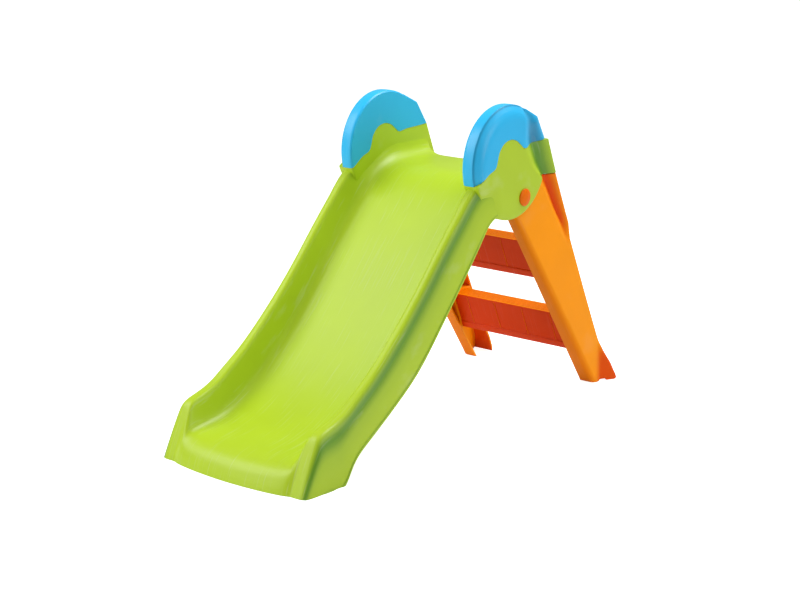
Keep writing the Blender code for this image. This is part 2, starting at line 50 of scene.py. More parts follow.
FIN_OUT = 0.2120             # the ear's rear rim, across the slide
FIN_BOTTOM, FIN_BOTTOM_FRONT = 0.5880, 0.230
PLATFORM_Z = 0.600
PIVOT_Y, PIVOT_Z = 0.212, 0.550
HEAD_R = 0.0380
PIN_HEAD_R, PIN_HEAD_H, PIN_R = 0.0215, 0.0065, 0.0097
BORE_R, BORE_LONG = PIN_R + 2 * GAP, 0.08
PIN_RIM_H = 0.0013           # straight rim below the pin's dome
BARB_R, BARB_RIM_H, BARB_TIP_R, BARB_H = 0.0118, 0.0015, 0.0085, 0.0060
POLE_R = 0.0004              # the last ring before a pin's flat pole
BOSS_R, BOSS_X, BOSS_LONG = 0.017, 0.190, 0.020
REBATE, GRIP_PROUD = 0.0028, 0.0007
RAIL_IN = 0.1850
STILE_TOP_IN, STILE_TOP_OUT = 0.1790, 0.2060
STILE_FOOT_IN, STILE_FOOT_OUT = 0.1750, 0.2130
STILE_DRAFT_Z = 0.480
STEP_SOCKET, STEP_DEPTH, STEP_WALL = 0.0120, 0.0720, 0.0040
STEP_RISER = Vector((0.0455, -0.1020))           # the front flange, from the tread down
STEP_REAR_LIP = Vector((0.0090, -0.0240))
STEP_BAND = 0.0022           # how far the flange's lower band stands out
STEP_RIDGES = [0.012 + 0.0095 * i for i in range(6)]
RIDGE_PROFILE = [(-0.0027, 0.0), (-0.0018, 0.0009), (-0.0007, 0.0012), (0.0007, 0.0012), (0.0018, 0.0009),
                 (0.0027, 0.0)]
FLANGE_RIBS = (-0.135, -0.045, 0.045, 0.135)
FLANGE_RIB_THICK, FLANGE_RIB_OUT, FLANGE_RIB_IN = 0.0030, 0.0013, -0.0020
SOCKET_BLOCK = [(-0.009, 0.007), (0.0735, 0.007), (0.084, -0.030), (0.062, -0.103), (0.036, -0.103)]
STEPS = {"upper": Vector((0.347, 0.403)), "lower": Vector((0.444, 0.200))}

# Along the chute: the floor, the rail's top and the skirt's bottom edge (y, z), and the skirt's place across.
STATIONS = [
    ((-0.6170, -0.006), (-0.595, -0.006), (-0.567, -0.006), 0.2295),
    ((-0.6105, 0.015), (-0.584, 0.022), (-0.559, -0.006), 0.2295),
    ((-0.600, 0.034), (-0.566, 0.062), (-0.548, -0.006), 0.2295),
    ((-0.583, 0.049), (-0.545, 0.103), (-0.534, -0.006), 0.2295),
    ((-0.558, 0.059), (-0.531, 0.124), (-0.520, -0.006), 0.2295),
    ((-0.525, 0.065), (-0.508, 0.134), (-0.500, -0.006), 0.2295),
    ((-0.478, 0.071), (-0.476, 0.143), (-0.464, -0.006), 0.2290),
    ((-0.425, 0.084), (-0.438, 0.158), (-0.427, 0.050), 0.2280),
    ((-0.362, 0.114), (-0.398, 0.184), (-0.370, 0.087), 0.2265),
    ((-0.288, 0.165), (-0.336, 0.226), (-0.280, 0.142), 0.2240),
    ((-0.205, 0.240), (-0.255, 0.297), (-0.190, 0.205), 0.2210),
    ((-0.122, 0.330), (-0.171, 0.379), (-0.096, 0.305), 0.2190),
    ((-0.040, 0.424), (-0.089, 0.471), (-0.019, 0.391), 0.2182),
    ((0.030, 0.500), (-0.020, 0.543), (0.042, 0.463), 0.2185),
    ((0.078, 0.549), (0.028, 0.592), (0.080, 0.508), 0.2192),
    ((0.120, 0.583), (0.090, 0.612), (0.125, 0.522), 0.2197),
    ((0.170, 0.600), (0.160, 0.648), (0.170, 0.525), 0.2197),
    ((0.250, 0.600), (0.250, 0.650), (0.250, 0.540), 0.2197),
    ((0.314, 0.600), (0.314, 0.650), (0.314, 0.550), 0.2197),
]
# The seat's rear edge rolls over into a short lip.
SEAT_END = [
    ((0.3240, 0.5996), (0.324, 0.645), (0.324, 0.550), 0.2197),
    ((0.3290, 0.5975), (0.329, 0.635), (0.329, 0.550), 0.2197),
    ((0.3300, 0.5920), (0.330, 0.625), (0.330, 0.550), 0.2197),
    ((0.3300, 0.5740), (0.330, 0.600), (0.330, 0.550), 0.2197),
]
INNER_ROWS = [(0.0, 0.0), (0.060, 0.0), (0.110, 0.0), (0.138, 0.0), (0.153, 0.03), (0.164, 0.11),
              (0.1705, 0.24), (0.1780, 0.60), (0.1825, 0.86), (0.1850, 0.955), (0.1895, 1.0)]
SEAT_ROWS = [(0.0, 0.0), (0.060, 0.0), (0.100, 0.0), (0.130, 0.0), (0.146, 0.06), (0.159, 0.20),
             (0.1675, 0.38), (0.1725, 0.60), (0.1745, 0.86), (0.1765, 0.955), (0.1815, 1.0)]
SEAT_BLEND = (0.020, 0.160)
OUTER_ROWS = [(0.30, -0.006), (0.50, 0.0), (0.62, 0.020), (0.72, 0.060), (0.79, 0.115), (0.84, 0.170),
              (0.90, 0.215), (0.94, 0.40), (0.97, 0.70), (0.995, 0.930), (1.0, 0.945)]
# How strong the painted shade is along the outer rows and the lip below them: darkest in the rail's shoulder
# groove and again just above the skirt's lip.
SHOULDER_SHADE = [0.0, 0.0, 0.08, 0.40, 0.80, 0.95, 0.75, 0.20, 0.04, 0.0, 0.40, 0.50, 0.20, 0.0, 0.0]
LIP = 0.0025
LIP_END, LIP_FADE = 0.070, 0.060
FOOT_BOW, FOOT_STATIONS = 0.020, 4
RIB_PLACES = (-0.452, -0.325, -0.195, -0.065, 0.070)
RIB_THICK, RIB_DEPTH, RIB_HALF = 0.0030, 0.0190, 0.180
RIB_COLUMNS = 40
RIB_SINK = 0.0012            # how far a rib's top goes into the chute's wall
RIB_EDGE_RISE = 0.006        # its lower edge rises by this much at the ends
DROP_BEHIND, DROP_BEYOND = 0.128, 0.1765         # the rails stop where the ears' walls take over
MOUTH_FRONT, MOUTH_BOTTOM, MOUTH_REAR = 0.118, 0.450, 0.420      # the ear is open below, for the ladder
HOLLOW_SHOULDER = (0.300, 0.294)                 # rear end of the ear's hollow, at the seat and above

# The wavy lower edge of a grip cover, the room above it, and the straight rear of the ear's fin (y, z).
GRIP_EDGE = [(-0.012, 0.583), (0.014, 0.593), (0.038, 0.606), (0.066, 0.625), (0.092, 0.636),
             (0.101, 0.653), (0.108, 0.674), (0.126, 0.692), (0.151, 0.699), (0.176, 0.694),
             (0.195, 0.681), (0.211, 0.671), (0.240, 0.675), (0.290, 0.677), (0.360, 0.682)]
ZONE_FRONT, ZONE_REAR, ZONE_TOP, ZONE_ACROSS = -0.040, 0.400, 0.860, (0.12, 0.26)
FIN_LINE = [(0.232, 0.763), (0.284, 0.738), (0.323, 0.680), (0.360, FIN_BOTTOM)]
# A cover's rim, from the inner face to the outer: share of the way across, and inset.
COVER_RIM = [(0.0, 0.0045), (0.035, 0.0022), (0.085, 0.0008), (0.16, 0.0002), (0.30, 0.0), (0.46, 0.0),
             (0.60, 0.0003), (0.660, 0.0006), (0.672, 0.0011), (0.700, 0.0030), (0.745, 0.0058),
             (0.800, 0.0090), (0.860, 0.0128), (0.915, 0.0172), (0.960, 0.0222), (0.990, 0.0285),
             (1.0, 0.0360)]
# The flute beside the rear edge: where its front side starts, from top to bottom, and how deep it is.
FLUTE_START = [(0.208, 0.800), (0.208, 0.680), (0.240, 0.625), (0.277, 0.590), (0.306, 0.556), (0.342, 0.500),
               (0.378, 0.450), (0.405, 0.405)]
FLUTE_DEPTH = [(0.0020, 0.778), (0.0070, 0.740), (0.0125, 0.690), (0.0135, 0.640), (0.0165, 0.560),
               (0.0150, 0.500), (0.0100, 0.450), (0.0, 0.405)]
FLUTE_RISE = 0.95            # share of its depth that it comes back up by the rear edge
FLUTE_BED = 0.55             # share of the way across where it is deepest
DROP_SPREAD = 1.1            # how fast the valley's depth is reached, from the inner face outwards
# Along the way down the valley, how strong its painted shade is.
FLUTE_SHADE = [(0.0, 0.800), (0.75, 0.740), (1.0, 0.680), (1.0, 0.470), (0.0, 0.395)]
FALL_TOP, FALL_FADE = 0.775, 0.110               # the ear's face falls to the rear rim below this height
EAR_SINK = 0.0040            # the ear's face dips under the skirt's at its lower front
SINK_REAR, SINK_REAR_FADE, SINK_TOP, SINK_TOP_FADE = 0.122, 0.050, 0.602, 0.040
EAR_SEGMENTS, FACE_RINGS, BACK_RINGS = 320, 14, 6

STILE_FRONT_FOOT = (0.547, 0.0)
STILE_ROUND_FRONT, STILE_ROUND_REAR = 0.0095, 0.0045
STILE_COLUMNS = 26
STILE_HEIGHTS = [0.0, 0.004, 0.010, 0.018, 0.028, 0.040, 0.050, 0.062, 0.075, 0.088, 0.100, 0.110, 0.120,
                 0.140, 0.170, 0.200, 0.240, 0.280, 0.320, 0.350, 0.375, 0.390, 0.400, 0.408, 0.416, 0.426,
                 0.438, 0.450, 0.465, 0.480, 0.495, 0.510, 0.525, 0.540, 0.555, 0.566, 0.576, 0.584, 0.5872]
ARCH_Y, ARCH_HALF, ARCH_RISE, ARCH_TOP = 0.577, 0.013, 0.007, 0.0036     # the notch under the foot
STILE_SHOULDER_Z = 0.5875
STILE_REAR = [(0.358, STILE_SHOULDER_Z), (0.419, 0.451), (0.426, 0.408), (0.492, 0.261), (0.530, 0.178),
              (0.563, 0.108), (0.584, 0.070), (0.601, 0.044), (0.6180, 0.0)]
TOE_TOP = 0.118              # the foot's rear toe starts to flare out below this height
TOE_OUT, TOE_REAR = 0.2375, 0.6182
TOE_CREASE = 0.047           # how far forward the flare starts at the ground


def clear_selection():
    for obj in bpy.context.selected_objects:
        obj.select_set(False)


def make_active(obj):
    clear_selection()
    obj.select_set(True)
    bpy.context.view_layer.objects.active = obj


def new_primitive(name, operator, **values):
    """Add a primitive mesh under a name, with nothing else selected."""
    clear_selection()
    operator(**values)
    obj = bpy.context.active_object
    obj.name = name
    obj.data.name = name
    return obj


def apply_modifier(obj, kind, **values):
    """Add one modifier and apply it at once."""
    make_active(obj)
    modifier = obj.modifiers.new(kind.lower(), kind)
    for key, value in values.items():
        setattr(modifier, key, value)
    bpy.ops.object.modifier_apply(modifier=modifier.name)


def cut(obj, tool, operation="DIFFERENCE", keep=False):
    apply_modifier(obj, "BOOLEAN", object=tool, operation=operation, solver="EXACT")
    if not keep:
        bpy.data.objects.remove(tool, do_unlink=True)


def edit_mesh(obj, *steps):
    """Run edit-mode steps, each (operator, values), on the whole of a mesh."""
    make_active(obj)
    bpy.ops.object.mode_set(mode="EDIT")
    bpy.ops.mesh.select_all(action="SELECT")
    for operator, values in steps:
        operator(**values)
    bpy.ops.object.mode_set(mode="OBJECT")


def shade(obj, angle=35):
    make_active(obj)
    bpy.ops.object.shade_smooth_by_angle(angle=radians(angle))
    return obj


def soften(obj, width, segments=3, angle=40):
    """Round the sharp edges, as the mould leaves them."""
    apply_modifier(obj, "BEVEL", width=width, segments=segments, limit_method="ANGLE",
                   angle_limit=radians(angle), harden_normals=False, use_clamp_overlap=True)


def outward(obj, merge=0.00002):
    edit_mesh(obj, (bpy.ops.mesh.remove_doubles, {"threshold": merge}),
              (bpy.ops.mesh.normals_make_consistent, {"inside": False}))


def mirrored_copy(obj, name):
    """The same piece on the other side, with its own mesh."""
    copy = obj.copy()
    copy.data = obj.data.copy()
    copy.name = name
    copy.data.name = name
    bpy.context.scene.collection.objects.link(copy)
    copy.data.transform(Matrix.Diagonal((-1.0, 1.0, 1.0, 1.0)))
    copy.data.flip_normals()
    return copy


def join(main, *others):
    clear_selection()
    for obj in others:
        obj.select_set(True)
    main.select_set(True)
    bpy.context.view_layer.objects.active = main
    bpy.ops.object.join()
    return main


def smooth_path(points, steps):
    """A Catmull-Rom curve through the points."""
    path = []
    count = len(points)
    for i in range(count - 1):
        before = Vector(points[max(i - 1, 0)])
        start = Vector(points[i])
        end = Vector(points[i + 1])
        after = Vector(points[min(i + 2, count - 1)])
        for step in range(steps):
            t = step / steps
            path.append(0.5 * (2 * start + (end - before) * t
                               + (2 * before - 5 * start + 4 * end - after) * t * t
                               + (3 * start - before - 3 * end + after) * t ** 3))
    path.append(Vector(points[-1]))
    return path


def along(line, z):
    """Where a line, given as (value, z) from top to bottom, is at a height."""
    if z >= line[0][1]:
        return line[0][0]
    for upper, lower in zip(line, line[1:]):
        if lower[1] <= z <= upper[1]:
            return upper[0] + (lower[0] - upper[0]) * (upper[1] - z) / (upper[1] - lower[1])
    return line[-1][0]


def ease(t):
    t = min(1.0, max(0.0, t))
    return t * t * (3.0 - 2.0 * t)


def arc(center, radius, start, end, steps):
    """Points on an arc in side view, angles in degrees from +Y towards +Z."""
    points = []
    for i in range(steps + 1):
        angle = radians(start + (end - start) * i / steps)
        points.append((center[0] + radius * cos(angle), center[1] + radius * sin(angle)))
    return points


def side_prism(name, outline, x_low, x_high):
    """A filled outline in side view (y, z), extruded across the slide."""
    obj = new_primitive(name, bpy.ops.mesh.primitive_circle_add, vertices=len(outline), fill_type="NGON")
    for vert, (y, z) in zip(obj.data.vertices, outline):
        vert.co = (x_low, y, z)
    edit_mesh(obj, (bpy.ops.mesh.extrude_region_move,
                    {"TRANSFORM_OT_translate": {"value": (x_high - x_low, 0.0, 0.0)}}),
              (bpy.ops.mesh.select_all, {"action": "SELECT"}),
              (bpy.ops.mesh.normals_make_consistent, {"inside": False}))
    return obj


def sheet_from_rows(name, rows):
    """A grid whose rows of points are given in order."""
    obj = new_primitive(name, bpy.ops.mesh.primitive_grid_add,
                        x_subdivisions=len(rows[0]) - 1, y_subdivisions=len(rows) - 1, size=1.0)
    for vert, point in zip(obj.data.vertices, [point for row in rows for point in row]):
        vert.co = point
    return obj


# The chute.

def chute_section(values, bow):
    """The half section at one station, from the middle of the floor to the skirt's bottom edge."""
    floor = Vector(values[0:2])
    rail = Vector(values[2:4])
    skirt = Vector(values[4:6])
    out = values[6]
    low, high = SEAT_BLEND
    seat = min(1.0, max(0.0, (floor.x - low) / (high - low)))
    row = []
    for chute_point, seat_point in zip(INNER_ROWS, SEAT_ROWS):
        across, share = Vector(chute_point).lerp(Vector(seat_point), seat)
        side = floor.lerp(rail, share)
        row.append(Vector((across, side.x + bow * (1.0 - share) * (across / RAIL_IN) ** 2, side.y)))
    for outwards, down in OUTER_ROWS:
        side = rail.lerp(skirt, down)
        row.append(Vector((RAIL_IN + (out - RAIL_IN) * outwards, side.x, side.y)))
    lip = LIP * min(1.0, max(0.0, (LIP_END - skirt.x) / LIP_FADE))
    for down, share in ((0.952, 0.8), (0.962, 1.0), (0.990, 1.0), (1.0, 0.9)):
        side = rail.lerp(skirt, down)
        row.append(Vector((out + lip * share, side.x, side.y)))
    return row


def chute_shell():
    """The chute with its rails and skirts: one sheet lofted through the stations, then thickened."""
    steps = 2
    stations = []
    for floor, rail, skirt, out in STATIONS:
        stations.append((*floor, *rail, *skirt, out))
    path = smooth_path(stations, steps)
    for floor, rail, skirt, out in SEAT_END:
        path.append((*floor, *rail, *skirt, out))
    rows = []
    for index, values in enumerate(path):
        bow = FOOT_BOW * max(0.0, 1.0 - index / (FOOT_STATIONS * steps)) ** 0.5
        half = chute_section(values, bow)
        mirrored = [Vector((-p.x, p.y, p.z)) for p in half[:0:-1]]
        rows.append(mirrored + half)
    shell = sheet_from_rows("chute_shell", rows)
    # Painted shade along the rail's outer shoulder and just above the skirt's lip, kept in the depth
    # attribute.
    row_shade = [0.0] * len(INNER_ROWS) + SHOULDER_SHADE
    depth = shell.data.attributes.new("depth", "FLOAT", "POINT")
    depth.data.foreach_set("value", (row_shade[:0:-1] + row_shade) * len(rows))
    apply_modifier(shell, "SUBSURF", levels=2, render_levels=2, boundary_smooth="PRESERVE_CORNERS")
    drop_inside_ears(shell)
    edit_mesh(shell, (bpy.ops.mesh.bisect, {"plane_co": (0.0, 0.0, 0.0), "plane_no": (0.0, 0.0, 1.0),
                                            "clear_inner": True, "use_fill": False}))
    apply_modifier(shell, "SOLIDIFY", thickness=WALL, offset=-1.0, use_quality_normals=True)
    for vert in shell.data.vertices:
        vert.co.z = max(vert.co.z, 0.0)
    return shade(shell, 50)


def drop_inside_ears(shell):
    """The ears' own walls take over from the rails beside the seat."""
    edit_mesh(shell, (bpy.ops.mesh.select_mode, {"type": "FACE"}),
              (bpy.ops.mesh.select_all, {"action": "DESELECT"}))
    for polygon in shell.data.polygons:
        center = polygon.center
        polygon.select = center.y > DROP_BEHIND and abs(center.x) > DROP_BEYOND
    bpy.ops.object.mode_set(mode="EDIT")
    bpy.ops.mesh.delete(type="FACE")
    bpy.ops.mesh.select_mode(type="VERT")
    bpy.ops.object.mode_set(mode="OBJECT")


def underside(shell, x, y):
    """Height of the chute's lower surface."""
    return shell.ray_cast(Vector((x, y, -1.0)), Vector((0.0, 0.0, 1.0)))[1].z


def chute_ribs(shell):
    """Thin ribs across the underside, each shaped to the floor above it."""
    ribs = []
    for number, y in enumerate(RIB_PLACES):
        level = underside(shell, 0.0, y) - RIB_DEPTH + 0.002
        top = []
        bottom = []
        for i in range(RIB_COLUMNS + 1):
            x = RIB_HALF * (2.0 * i / RIB_COLUMNS - 1.0)
            top.append((x, y, underside(shell, x, y) + RIB_SINK))
            bottom.append((x, y, level + RIB_EDGE_RISE * (abs(x) / RIB_HALF) ** 6))
        rib = sheet_from_rows("chute_rib_%d" % number, [bottom, top])
        apply_modifier(rib, "SOLIDIFY", thickness=RIB_THICK, offset=0.0)
        outward(rib)
        soften(rib, 0.0008, 2)
        ribs.append(rib)
    return shade(join(*ribs))


def pivot_cylinder(name, radius, length):
    """A cylinder on the ladder's pivot, across the slide."""
    return new_primitive(name, bpy.ops.mesh.primitive_cylinder_add, vertices=64, radius=radius, depth=length,
                         location=(BOSS_X, PIVOT_Y, PIVOT_Z), rotation=(0.0, pi / 2, 0.0))


# The ears and their covers.

def ear_reach(angle, grow):
    """How far the ear's outline is from the disc's centre, in a direction in side view."""
    direction = Vector((cos(angle), sin(angle)))
    radius = EAR_R + grow
    reach = radius
    shift = Vector((EAR_Y, EAR_Z))
    line = [Vector((y + grow, z + grow * 0.4)) - shift for y, z in FIN_LINE]
    line.append(Vector((FIN_BOTTOM_FRONT, FIN_BOTTOM)) - shift)
    line[-2].y = FIN_BOTTOM - EAR_Z
    for start, end in zip(line, line[1:]):
        edge = end - start
        cross = direction.cross(edge)
        if abs(cross) > 1e-9:
            distance = start.cross(edge) / cross
            place = start.cross(direction) / cross
            if 0.0 <= place <= 1.0 and distance > reach:
                reach = distance
    return reach


def flute_share(y, z):
    """How far across the concave valley a place is; the valley runs down beside the rear edge."""
    start = along(FLUTE_START, z)
    rear = along(FIN_LINE[:3] + STILE_REAR, z)
    return (y - start) / max(0.02, rear - start)


def flute(y, z, fall=0.0):
    """Depth of the valley; at the rear edge the surface has fallen by the given amount in all."""
    share = flute_share(y, z)
    depth = along(FLUTE_DEPTH, z)
    drop = (depth + fall) * ease(share / FLUTE_BED)
    return drop - FLUTE_RISE * depth * ease((share - FLUTE_BED) / (1.0 - FLUTE_BED))


def ear_drop(y, z):
    """How far the ear's outer face lies below its full width."""
    fall = (EAR_OUT - FIN_OUT) * ease((FALL_TOP - z) / FALL_FADE)
    sink = EAR_SINK * ease((SINK_REAR - y) / SINK_REAR_FADE) * ease((SINK_TOP - z) / SINK_TOP_FADE)
    return flute(y, z, fall) + sink


def flute_shade(place):
    """The painted shade in the valley, from 0 to 1."""
    share = flute_share(place.y, place.z)
    strength = along(FLUTE_SHADE, place.z)
    across = ease((share - 0.05) / 0.45) * (1.0 - 0.75 * ease((share - 0.62) / 0.36))
    return strength * across * ease((abs(place.x) - 0.183) / 0.006)


def pressed_disc(name, grow, face_in, face_out, profile):
    """A sphere pressed into the ear's form, larger all round by grow.

    The profile is the rim's, from the inner face to the outer: (share of the way across, inset).
    """
    inner = [(0.0, profile[0][1], share / BACK_RINGS) for share in range(1, BACK_RINGS)]
    rim = [(across, inset, 1.0) for across, inset in profile]
    outer = [(1.0, profile[-1][1], 1.0 - share / FACE_RINGS) for share in range(1, FACE_RINGS)]
    rings = inner + rim + outer
    obj = new_primitive(name, bpy.ops.mesh.primitive_uv_sphere_add,
                        segments=EAR_SEGMENTS, ring_count=len(rings) + 1, radius=1.0)
    for vert in obj.data.vertices:
        index = round(acos(min(1.0, max(-1.0, vert.co.z))) / pi * (len(rings) + 1)) - 1
        if index < 0 or index >= len(rings):
            across, reach = (0.0, 0.0) if index < 0 else (1.0, 0.0)
            angle = 0.0
        else:
            across, inset, share = rings[index]
            angle = atan2(vert.co.y, vert.co.x)
            reach = (ear_reach(angle, grow) - inset) * share
        y = EAR_Y + reach * cos(angle)
        z = EAR_Z + reach * sin(angle)
        x = face_in + (face_out - face_in) * across
        vert.co = (x - ear_drop(y, z) * ease(across * DROP_SPREAD), y, z)
    outward(obj)
    return obj


def grip_zone(name, drop):
    """The room above a cover's wavy edge, lowered by the drop."""
    edge = [(y, z - drop) for y, z in smooth_path(GRIP_EDGE, 8)]
    corners = [(ZONE_REAR, ZONE_TOP), (ZONE_FRONT, ZONE_TOP), (ZONE_FRONT, GRIP_EDGE[0][1] - drop)]
    return side_prism(name, edge + corners, *ZONE_ACROSS)


def rounded_rim(inner, outer, width):
    """A rim with round corners of two radii, as shares of the width across."""
    points = [(inner * (1 - cos(turn)) / width, inner * (1 - sin(turn)))
              for turn in [radians(90.0 * i / 4) for i in range(5)]]
    points += [(0.36, 0.0), (0.60, 0.0)]
    points += [(1.0 - outer * (1 - sin(turn)) / width, outer * (1 - cos(turn)))
               for turn in [radians(90.0 * i / 6) for i in range(7)]]
    return points


def ear():
    """The green ear: full size below the cover, stepped in where the cover sits, hollow for the ladder."""
    width = EAR_OUT - EAR_IN
    body = pressed_disc("ear_right", 0.0, EAR_IN, EAR_OUT, rounded_rim(0.004, 0.0045, width))
    core = pressed_disc("ear_core", -REBATE, EAR_IN + REBATE, EAR_OUT - REBATE, COVER_RIM)
    cut(body, grip_zone("seam", SEAM_GAP))
    hollow = ear_hollow()
    cut(body, hollow, keep=True)
    cut(core, hollow)
    for obj in (body, core):
        cut(obj, pivot_cylinder("bore", BORE_R, BORE_LONG))
    return shade(join(body, core), 40)


def ear_hollow():
    """Room for the ladder's head, open downwards and to the rear."""
    inner = EAR_R - EAR_WALL
    top = PLATFORM_Z - WALL
    start = 180.0 + degrees(asin((EAR_Z - top) / inner))
    end = 180.0 + degrees(acos((EAR_Y - MOUTH_FRONT) / inner))
    outline = arc((EAR_Y, EAR_Z), inner, start, end, 16)
    outline += [(MOUTH_FRONT, MOUTH_BOTTOM), (MOUTH_REAR, MOUTH_BOTTOM), (MOUTH_REAR, FIN_BOTTOM - GAP),
                (HOLLOW_SHOULDER[0], FIN_BOTTOM - GAP), (HOLLOW_SHOULDER[1], top)]
    return side_prism("ear_hollow", outline, EAR_IN + EAR_WALL, EAR_OUT - EAR_WALL)


def grip_cover():
    """The blue cap: a crowned rim band, a crisp line, then a broad soft edge into the face."""
    proud_in = EAR_IN - GRIP_PROUD
    proud_out = EAR_OUT + GRIP_PROUD
    cover = pressed_disc("grip_cover_right", GRIP_PROUD, proud_in, proud_out, COVER_RIM)
    slack = REBATE - GAP
    core = pressed_disc("cover_core", -slack, EAR_IN + slack, EAR_OUT - slack, COVER_RIM)
    cut(cover, core)
    cut(cover, grip_zone("zone", 0.0), "INTERSECT")
    return shade(cover, 24)


# The ladder.

def stile_faces(z):
    """The stile's inner and outer faces across the slide, at a height."""
    share = max(0.0, 1.0 - z / STILE_DRAFT_Z)
    inner = STILE_TOP_IN + (STILE_FOOT_IN - STILE_TOP_IN) * share
    outer = STILE_TOP_OUT + (STILE_FOOT_OUT - STILE_TOP_OUT) * share
    return inner, outer


def head_front():
    """Where the stile's straight front edge meets its round head."""
    to_pivot = Vector((PIVOT_Y, PIVOT_Z)) - Vector(STILE_FRONT_FOOT)
    angle = 90.0 + degrees(atan2(to_pivot.y, to_pivot.x) + asin(HEAD_R / to_pivot.length))
    return arc((PIVOT_Y, PIVOT_Z), HEAD_R, angle, angle, 1)[0]


def stile_front(z):
    y, top = head_front()
    if z <= top:
        return y + (STILE_FRONT_FOOT[0] - y) * (top - z) / top
    return PIVOT_Y - (HEAD_R ** 2 - min(HEAD_R * 0.99, z - PIVOT_Z) ** 2) ** 0.5


def toe_flare(y, z, rear):
    """How far the foot's rear toe stands out beyond the stile's face."""
    if z > TOE_TOP:
        return 0.0
    share = 1.0 - z / TOE_TOP
    crease = rear - TOE_CREASE * share
    return (TOE_OUT - STILE_FOOT_OUT) * share ** 1.2 * max(0.0, (y - crease) / max(0.004, rear - crease))


def stile_section(z):
    """The stile's outer surface at a height, from the front flange round to the rear one."""
    inner, outer = stile_faces(z)
    front = stile_front(z)
    rear = along(STILE_REAR, z)
    turns = [radians(15.0 * i) for i in range(1, 7)]
    points = [(front + 0.0004, inner), (front, inner + 0.003), (front, outer - 0.016),
              (front, outer - STILE_ROUND_FRONT)]
    for turn in turns:
        y = front + STILE_ROUND_FRONT * (1 - cos(turn))
        points.append((y, outer - STILE_ROUND_FRONT * (1 - sin(turn))))
    first = front + STILE_ROUND_FRONT + 0.003
    last = rear - STILE_ROUND_REAR - 0.0006
    for i in range(STILE_COLUMNS + 1):
        points.append((first + (last - first) * i / STILE_COLUMNS, outer))
    for turn in turns:
        y = rear - STILE_ROUND_REAR * (1 - sin(turn))
        points.append((y, outer - STILE_ROUND_REAR * (1 - cos(turn))))
    points += [(rear, inner + 0.003), (rear - 0.0004, inner)]
    row = []
    for y, x in points:
        share = (x - inner) / (outer - inner)
        shift = toe_flare(y, z, rear) * ease(share) - flute(y, z) * ease(share * DROP_SPREAD)
        row.append((x + shift, y, z))
    return row


def stile_shell():
    """The channel's wall, with a shallow notch under the foot."""
    rows = [stile_section(z) for z in STILE_HEIGHTS]
    arched = []
    for x, y, z in rows[0]:
        lift = ARCH_RISE * max(0.0, 1.0 - ((y - ARCH_Y) / ARCH_HALF) ** 2)
        arched.append((x, y, min(ARCH_TOP, z + lift)))
    rows[0] = arched
    shell = sheet_from_rows("stile_right_shell", rows)
    outward(shell)
    if shell.data.polygons[len(shell.data.polygons) // 2].normal.x < 0.0:
        shell.data.flip_normals()
    apply_modifier(shell, "SOLIDIFY", thickness=STILE_WALL, offset=-1.0, use_quality_normals=True)
    for vert in shell.data.vertices:
        vert.co = (min(vert.co.x, TOE_OUT), min(vert.co.y, TOE_REAR), max(vert.co.z, 0.0))
    return shell


def flange_front():
    """The direction that the step's leaning front flange faces."""
    return Vector((STEP_RISER.y, -STEP_RISER.x)).normalized()


def step_profile(corner):
    """A step's section: a ridged tread, a leaning front flange with a lip band, and a rear lip."""
    down = STEP_RISER
    forward = flange_front()
    band = forward * STEP_BAND
    points = [down, down + band * 0.6, down * 0.985 + band, down * 0.83 + band, down * 0.815,
              down * 0.035, Vector((0.0008, -0.0012)), Vector((0.0026, 0.0))]
    for y in STEP_RIDGES:
        points += [Vector((y + offset, height)) for offset, height in RIDGE_PROFILE]
    rear = Vector((STEP_DEPTH, 0.0))
    back = Vector((-STEP_WALL, 0.0))
    points += [rear - Vector((0.0028, 0.0)), rear - Vector((0.0008, 0.0009)),
               rear + Vector((0.0007, -0.0030)), rear + STEP_REAR_LIP, rear + STEP_REAR_LIP + back,
               rear + back * 0.75 - Vector((0.0, STEP_WALL)),
               Vector((STEP_WALL * 1.6, -STEP_WALL)), down - forward * STEP_WALL]
    return [corner + point for point in points]


def step(name, corner):
    """A step with four upright ribs on its front flange."""
    reach = stile_faces(corner.y)[0] + STEP_SOCKET - GAP
    tread = side_prism(name, step_profile(corner), -reach, reach)
    ribs = []
    for place in FLANGE_RIBS:
        rib = new_primitive("flange_rib", bpy.ops.mesh.primitive_cube_add, size=1.0)
        for vert in rib.data.vertices:
            run = 0.05 if vert.co.z > 0.0 else 0.81
            out = FLANGE_RIB_OUT if vert.co.y < 0.0 else FLANGE_RIB_IN
            base = corner + STEP_RISER * run + flange_front() * out
            vert.co = (place + FLANGE_RIB_THICK * vert.co.x, base.x, base.y)
        outward(rib)
        ribs.append(rib)
    return shade(join(tread, *ribs), 35)


def socket(corner):
    """The block inside a stile that a step's end sits in."""
    outline = [corner + Vector(point) for point in SOCKET_BLOCK]
    inner, outer = stile_faces(corner.y)
    block = side_prism("socket", outline, inner + 0.0008, outer - 0.003)
    slot = side_prism("slot", grown(step_profile(corner), GAP), inner - 0.02, inner + STEP_SOCKET)
    cut(block, slot)
    return block


def grown(outline, amount):
    """An outline moved outwards all round, with mitred corners."""
    points = [Vector(point) for point in outline]
    area = sum(a.cross(b) for a, b in zip(points, points[1:] + points[:1]))
    side = amount if area > 0 else -amount
    result = []
    for before, point, after in zip(points[-1:] + points[:-1], points, points[1:] + points[:1]):
        first = (point - before).normalized()
        second = (after - point).normalized()
        miter = Vector((first.y, -first.x)) + Vector((second.y, -second.x))
        result.append(point + miter * (side * 2.0 / miter.length_squared))
    return result


def stile():
    """A side frame: the shell, a socket for each step and a round boss behind the head, bored for the pin."""
    shell = stile_shell()
    parts = [socket(corner) for corner in STEPS.values()]
    boss = pivot_cylinder("boss", BOSS_R, BOSS_LONG)
    bpy.ops.object.transform_apply(location=True, rotation=True, scale=True)
    frame_piece = join(shell, *parts, boss)
    cut(frame_piece, pivot_cylinder("bore", BORE_R, BORE_LONG))
    return shade(frame_piece, 38)


